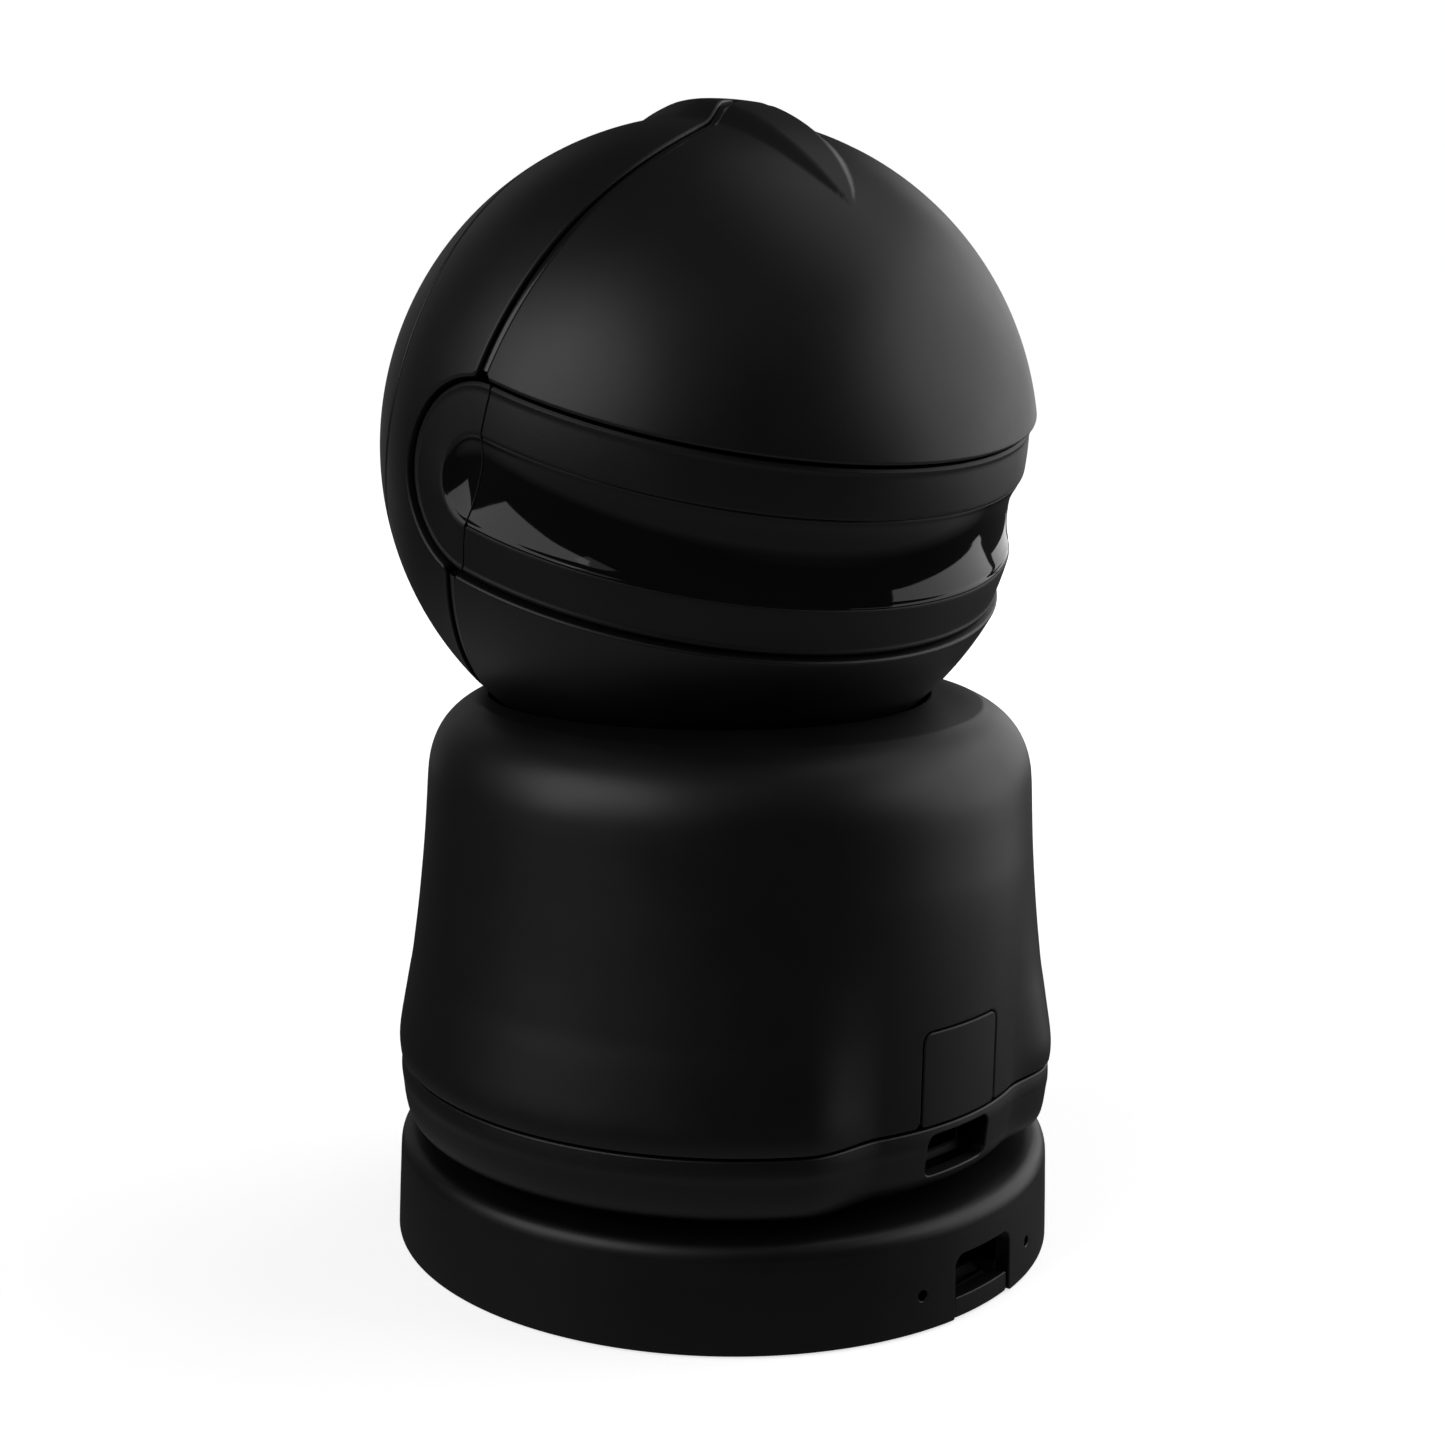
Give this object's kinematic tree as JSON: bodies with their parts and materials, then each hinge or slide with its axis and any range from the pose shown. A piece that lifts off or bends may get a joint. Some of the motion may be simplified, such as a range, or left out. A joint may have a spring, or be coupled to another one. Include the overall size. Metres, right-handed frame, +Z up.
{
  "type": "security camera",
  "caption": "Ball-headed pan and tilt security camera: dark wrap-round visor, bell-shaped pedestal with a service door, and a twist-lock round base with a cable notch.",
  "frame": {"origin": "centre of the base's underside, on the surface it stands on", "axes": "+Z up; -Y out of the connector side of the pedestal; +X to the right when the connector side is seen from the front"},
  "size_m": [0.098, 0.1011, 0.165],
  "materials": {
    "shell_black": "fine-textured black moulded plastic, satin",
    "visor_black": "smooth satin black plastic",
    "window_black": "polished dark tinted window",
    "strip_black": "glossy black trim",
    "door_black": "matte black cover",
    "inner_black": "plain black structural plastic",
    "rubber": "matte rubber",
    "steel": "plated steel",
    "nylon": "natural nylon",
    "circuit_board": "green solder mask",
    "button_grey": "grey plastic",
    "lens_glass": "coated lens",
    "led_clear": "clear moulded LED body"
  },
  "bodies": {
    "base": {"base_shell": "shell_black", "base_plate": "inner_black", "foot_pad": "rubber", "cable_notch_clip": "shell_black", "base_screw_1": "steel", "base_screw_2": "steel", "base_screw_3": "steel"},
    "pedestal": {"lower_ring": "shell_black", "housing": "shell_black", "main_board": "circuit_board", "power_jack": "steel", "service_board": "circuit_board", "card_reader": "steel", "reset_switch": "inner_black", "pan_frame": "inner_black", "pan_bearing": "nylon", "pan_motor": "steel", "pedestal_screw_1": "steel", "pedestal_screw_2": "steel", "pedestal_screw_3": "steel"},
    "service_door": {"service_door": "door_black"},
    "reset_button": {"reset_button": "button_grey"},
    "pan_pinion": {"pan_pinion": "nylon"},
    "turret": {"pan_turntable": "inner_black", "pan_circlip": "steel", "pan_gear": "nylon", "neck_post": "inner_black", "slot_shield": "inner_black", "tilt_gear": "nylon"},
    "head": {"brow_shell": "shell_black", "chin_shell": "shell_black", "middle_band": "shell_black", "rear_shell": "shell_black", "seam_strip_top": "strip_black", "seam_strip_left": "strip_black", "seam_strip_right": "strip_black", "visor_frame": "visor_black", "visor_window": "window_black", "visor_end_left": "visor_black", "visor_end_right": "visor_black", "camera_chassis": "inner_black", "tilt_shaft": "steel", "tilt_motor": "steel", "sensor_board": "circuit_board", "lens_barrel": "inner_black", "lens_glass": "lens_glass", "led_board": "circuit_board", "ir_led_1": "led_clear", "ir_led_2": "led_clear", "ir_led_3": "led_clear", "ir_led_4": "led_clear"},
    "tilt_pinion": {"tilt_pinion": "nylon"}
  },
  "joints": [
    {"name": "twist_lock", "type": "hinge", "parent": "base", "child": "pedestal", "pos_m": [0, 0, 0.0156], "axis": [0, 0, 1], "range_deg": [0, 42]},
    {"name": "pan", "type": "hinge", "parent": "pedestal", "child": "turret", "pos_m": [0, 0.0052, 0.055], "axis": [0, 0, 1], "range_deg": [-163, 187]},
    {"name": "pan_pinion_spin", "type": "hinge", "parent": "pedestal", "child": "pan_pinion", "pos_m": [0.02307, -0.01416, 0.054], "axis": [0, 0, 1], "range_deg": [-750, 655]},
    {"name": "tilt", "type": "hinge", "parent": "turret", "child": "head", "pos_m": [0, 0.0052, 0.1156], "axis": [-0.9787, 0.2054, 0], "range_deg": [-4, 46]},
    {"name": "tilt_pinion_spin", "type": "hinge", "parent": "head", "child": "tilt_pinion", "pos_m": [0.01237, 0.01158, 0.13145], "axis": [-0.9787, 0.2054, 0], "range_deg": [-10, 94]},
    {"name": "door_pull", "type": "slide", "parent": "pedestal", "child": "service_door", "axis": [0, -1, 0], "range_m": [0, 0.006]},
    {"name": "reset_press", "type": "slide", "parent": "pedestal", "child": "reset_button", "axis": [0, 1, 0], "range_m": [0, 0.0006], "stiffness_N_per_m": 500, "springref_m": -0.0004}
  ],
  "couplings": [
    {"joint": "pan_pinion_spin", "follows": "pan", "ratio": -4},
    {"joint": "tilt_pinion_spin", "follows": "tilt", "ratio": 2}
  ]
}
